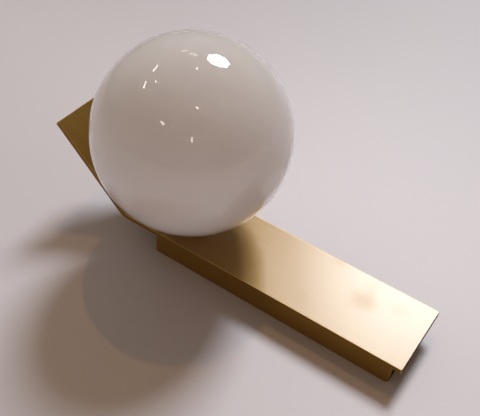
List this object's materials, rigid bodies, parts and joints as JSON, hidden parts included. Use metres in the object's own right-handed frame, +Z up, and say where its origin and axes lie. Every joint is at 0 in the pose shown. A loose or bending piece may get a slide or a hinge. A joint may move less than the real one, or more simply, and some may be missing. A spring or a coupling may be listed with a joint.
{
  "type": "wall sconce",
  "caption": "Wall light: a brass plate bent out at its lower end, on a flat wall box, with an opal glass globe screwed into a low ring just above the bend.",
  "frame": {"origin": "on the wall plane, midway between the bracket's two slotted screw holes", "axes": "+Z up the wall, +X across it, +Y into the wall; the light stands out towards -Y"},
  "size_m": [0.15, 0.1808, 0.3135],
  "materials": {
    "brushed_brass": "satin lacquered, brushed along the plate",
    "brass_fittings": "plain turned brass",
    "zinc_steel": "zinc plated",
    "steel_fasteners": "zinc plated",
    "tinned_copper": "tinned",
    "black_plastic": "matt",
    "white_plastic": "satin",
    "white_ceramic": "glazed",
    "lamp_core": "light chips on a ceramic stick",
    "clear_cover": "frosted clear",
    "clear_silicone": "milky silicone",
    "opal_glass": "glossy cased opal",
    "brown_sleeve": "silicone lead sleeve",
    "blue_sleeve": "silicone lead sleeve",
    "earth_sleeve": "green and yellow lead sleeve"
  },
  "bodies": {
    "root": {"front_plate": "brushed_brass", "housing": "brushed_brass", "globe_gallery": "brushed_brass", "end_screws": "brass_fittings", "terminal_sleeves": "brass_fittings", "holder_contacts": "brass_fittings", "wall_bracket": "zinc_steel", "threaded_nipple": "zinc_steel", "back_washer": "zinc_steel", "back_nut": "zinc_steel", "front_nut": "zinc_steel", "holder_strap": "zinc_steel", "holder_rivets": "steel_fasteners", "plate_screws": "steel_fasteners", "clamp_screws": "steel_fasteners", "block_screws": "steel_fasteners", "earth_screws": "steel_fasteners", "earth_washers": "steel_fasteners", "earth_rings": "tinned_copper", "cable_bush": "black_plastic", "terminal_block": "white_plastic", "lampholder": "white_ceramic", "live_lead": "brown_sleeve", "neutral_lead": "blue_sleeve", "bracket_earth_lead": "earth_sleeve", "plate_earth_lead": "earth_sleeve"},
    "seal": {"neck_seal": "clear_silicone"},
    "globe": {"globe": "opal_glass"},
    "lamp": {"lamp_base": "white_plastic", "lamp_pins": "tinned_copper", "lamp_core": "lamp_core", "lamp_cover": "clear_cover"}
  },
  "joints": [
    {"name": "globe_lift", "type": "slide", "parent": "root", "child": "seal", "axis": [0, -1, 0], "range_m": [0, 0.005]},
    {"name": "globe_turn", "type": "hinge", "parent": "seal", "child": "globe", "pos_m": [0, -0.1058, -0.0926], "axis": [0, -1, 0], "range_deg": [0, 450]},
    {"name": "lamp_pull", "type": "slide", "parent": "root", "child": "lamp", "axis": [0, -1, 0], "range_m": [0, 0.01]}
  ],
  "couplings": [
    {"joint": "globe_lift", "follows": "globe_turn", "m_per_rad": 0.00063661}
  ]
}
